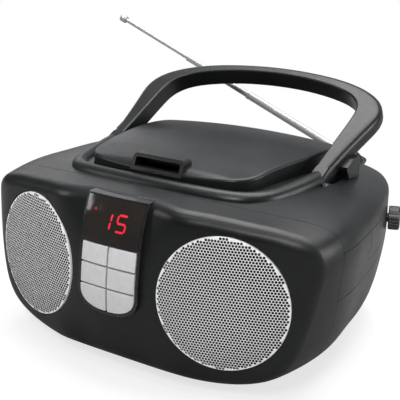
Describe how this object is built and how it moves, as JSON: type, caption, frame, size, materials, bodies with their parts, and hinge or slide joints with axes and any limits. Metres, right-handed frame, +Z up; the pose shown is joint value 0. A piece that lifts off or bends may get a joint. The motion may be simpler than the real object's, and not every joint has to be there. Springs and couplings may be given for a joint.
{
  "type": "portable cd radio",
  "caption": "Portable CD radio with round perforated speaker grilles, push keys and lit digits in front, a hinged disc lid, a folding carry handle and a telescopic antenna.",
  "frame": {"origin": "on the ground under the middle of the cabinet's footprint: x = 0 in the plane of left-right symmetry of the cabinet, y = 0 midway between the foremost keys and the rear wall, z = 0 at the underside of the feet", "axes": "+X to the radio's right as seen from the front, -Y out of the front (grilles and keys), +Z up"},
  "size_m": [0.2861, 0.2242, 0.1919],
  "materials": {
    "case_plastic": "satin, fine spark texture",
    "side_plastic": "satin",
    "panel_plastic": "semi gloss",
    "key_plastic": "fine satin silver",
    "smoked_window": "clear gloss, dark smoke",
    "red_light": "lit diffuser",
    "grille_metal": "silver paint on perforated steel",
    "speaker_frame": "zinc plated pressing",
    "ferrite": "fired ferrite",
    "cone_paper": "pressed paper pulp",
    "chrome": "polished",
    "steel": "bright zinc",
    "inner_plastic": "as moulded",
    "hub_plastic": "satin",
    "board_laminate": "solder mask",
    "component_plastic": "moulded epoxy",
    "copper": "enamelled wire",
    "core_steel": "varnished laminations",
    "rubber": "matt",
    "lens": "coated",
    "spring_steel": "nickel plated"
  },
  "bodies": {
    "cabinet": {"speaker_grille_right": "grille_metal", "speaker_basket_right": "speaker_frame", "speaker_magnet_right": "ferrite", "speaker_grille_left": "grille_metal", "speaker_basket_left": "speaker_frame", "speaker_magnet_left": "ferrite", "control_bezel": "panel_plastic", "display_window": "smoked_window", "led_digits": "red_light", "power_led": "red_light", "led_module": "component_plastic", "control_board": "board_laminate", "small_screws": "steel", "lid_hinge_pins": "steel", "case_screws": "steel", "handle_pins": "steel", "drive_chassis": "inner_plastic", "drive_dampers": "rubber", "spindle_motor": "steel", "guide_rods": "steel", "sled_motor": "steel", "side_plate_right": "side_plastic", "side_plate_left": "side_plastic", "tuning_capacitor": "inner_plastic", "left_controls": "component_plastic", "mains_inlet": "component_plastic", "transformer_core": "core_steel", "transformer_winding": "copper", "main_board": "board_laminate", "board_components": "component_plastic", "battery_contacts": "spring_steel", "feet": "rubber", "front_cabinet": "case_plastic", "top_cabinet": "case_plastic", "rear_cabinet": "case_plastic", "bottom_cabinet": "case_plastic"},
    "lid": {"cd_lid": "case_plastic"},
    "carry_handle": {"handle": "case_plastic"},
    "antenna_base": {"antenna_mount": "side_plastic", "antenna_pin": "steel"},
    "antenna_lower": {"antenna_section_1": "chrome"},
    "antenna_middle": {"antenna_section_2": "chrome"},
    "antenna_upper": {"antenna_section_3": "chrome", "antenna_tip": "chrome"},
    "tuning_control": {"tuning_knob": "side_plastic"},
    "volume_control": {"volume_knob": "side_plastic"},
    "function_slider": {"function_switch": "side_plastic"},
    "disc_drive_hub": {"disc_hub": "hub_plastic"},
    "pickup": {"pickup_sled": "inner_plastic", "pickup_lens": "lens"},
    "sled_screw": {"lead_screw": "steel"},
    "cone_right": {"speaker_cone_right": "cone_paper"},
    "cone_left": {"speaker_cone_left": "cone_paper"},
    "battery_cover": {"battery_door": "case_plastic"},
    "button_l1": {"key_l1": "key_plastic"},
    "button_l2": {"key_l2": "key_plastic"},
    "button_l3": {"key_l3": "key_plastic"},
    "button_r1": {"key_r1": "key_plastic"},
    "button_r2": {"key_r2": "key_plastic"},
    "button_r3": {"key_r3": "key_plastic"}
  },
  "joints": [
    {"name": "lid_hinge", "type": "hinge", "parent": "cabinet", "child": "lid", "pos_m": [0, 0.0745, 0.1185], "axis": [-1, 0, 0], "range_deg": [0, 45]},
    {"name": "handle_hinge", "type": "hinge", "parent": "cabinet", "child": "carry_handle", "pos_m": [0, 0.018, 0.1105], "axis": [1, 0, 0], "range_deg": [0, 30]},
    {"name": "antenna_swivel", "type": "hinge", "parent": "cabinet", "child": "antenna_base", "pos_m": [0.064, 0.105, 0.0992], "axis": [0, 1, 0], "range_deg": [-22, 157]},
    {"name": "antenna_tilt", "type": "hinge", "parent": "antenna_base", "child": "antenna_lower", "pos_m": [0.064, 0.117, 0.0992], "axis": [-0.3819, 0, -0.9242], "range_deg": [0, 90]},
    {"name": "antenna_slide_1", "type": "slide", "parent": "antenna_lower", "child": "antenna_middle", "axis": [-0.9242, 0, 0.3819], "range_m": [-0.06, 0.02]},
    {"name": "antenna_slide_2", "type": "slide", "parent": "antenna_middle", "child": "antenna_upper", "axis": [-0.9242, 0, 0.3819], "range_m": [-0.064, 0.012]},
    {"name": "tuning_turn", "type": "hinge", "parent": "cabinet", "child": "tuning_control", "pos_m": [0.1136, 0.055, 0.0845], "axis": [0.9409, 0.3387, 0], "range_deg": [-135, 135]},
    {"name": "volume_turn", "type": "hinge", "parent": "cabinet", "child": "volume_control", "pos_m": [-0.1136, 0.055, 0.0845], "axis": [-0.9409, 0.3387, 0], "range_deg": [-135, 135]},
    {"name": "function_slide", "type": "slide", "parent": "cabinet", "child": "function_slider", "axis": [0, 1, 0], "range_m": [-0.003, 0.003]},
    {"name": "disc_spin", "type": "hinge", "parent": "cabinet", "child": "disc_drive_hub", "pos_m": [0, 0.0145, 0.09], "axis": [0, 0, 1], "continuous": true},
    {"name": "pickup_travel", "type": "slide", "parent": "cabinet", "child": "pickup", "axis": [0, 1, 0], "range_m": [-0.015, 0.015]},
    {"name": "sled_screw_turn", "type": "hinge", "parent": "cabinet", "child": "sled_screw", "pos_m": [-0.0252, -0.019, 0.1013], "axis": [0, 1, 0], "range_deg": [-2790, 2790]},
    {"name": "cone_right_travel", "type": "slide", "parent": "cabinet", "child": "cone_right", "axis": [0.2707, -0.9605, 0.0652], "range_m": [-0.0006, 0.0006], "stiffness_N_per_m": 1500},
    {"name": "cone_left_travel", "type": "slide", "parent": "cabinet", "child": "cone_left", "axis": [-0.2707, -0.9605, 0.0652], "range_m": [-0.0006, 0.0006], "stiffness_N_per_m": 1500},
    {"name": "battery_door_removal", "type": "slide", "parent": "cabinet", "child": "battery_cover", "axis": [0, 0, -1], "range_m": [0, 0.025], "stiffness_N_per_m": 60, "springref_m": -0.004},
    {"name": "press_l1", "type": "slide", "parent": "cabinet", "child": "button_l1", "axis": [0, 1, 0], "range_m": [0, 0.0008], "stiffness_N_per_m": 800, "springref_m": -0.0005},
    {"name": "press_l2", "type": "slide", "parent": "cabinet", "child": "button_l2", "axis": [0, 1, 0], "range_m": [0, 0.0008], "stiffness_N_per_m": 800, "springref_m": -0.0005},
    {"name": "press_l3", "type": "slide", "parent": "cabinet", "child": "button_l3", "axis": [0, 1, 0], "range_m": [0, 0.0008], "stiffness_N_per_m": 800, "springref_m": -0.0005},
    {"name": "press_r1", "type": "slide", "parent": "cabinet", "child": "button_r1", "axis": [0, 1, 0], "range_m": [0, 0.0008], "stiffness_N_per_m": 800, "springref_m": -0.0005},
    {"name": "press_r2", "type": "slide", "parent": "cabinet", "child": "button_r2", "axis": [0, 1, 0], "range_m": [0, 0.0008], "stiffness_N_per_m": 800, "springref_m": -0.0005},
    {"name": "press_r3", "type": "slide", "parent": "cabinet", "child": "button_r3", "axis": [0, 1, 0], "range_m": [0, 0.0008], "stiffness_N_per_m": 800, "springref_m": -0.0005}
  ],
  "couplings": [
    {"joint": "sled_screw_turn", "follows": "pickup_travel", "rad_per_m": 3141.6}
  ]
}
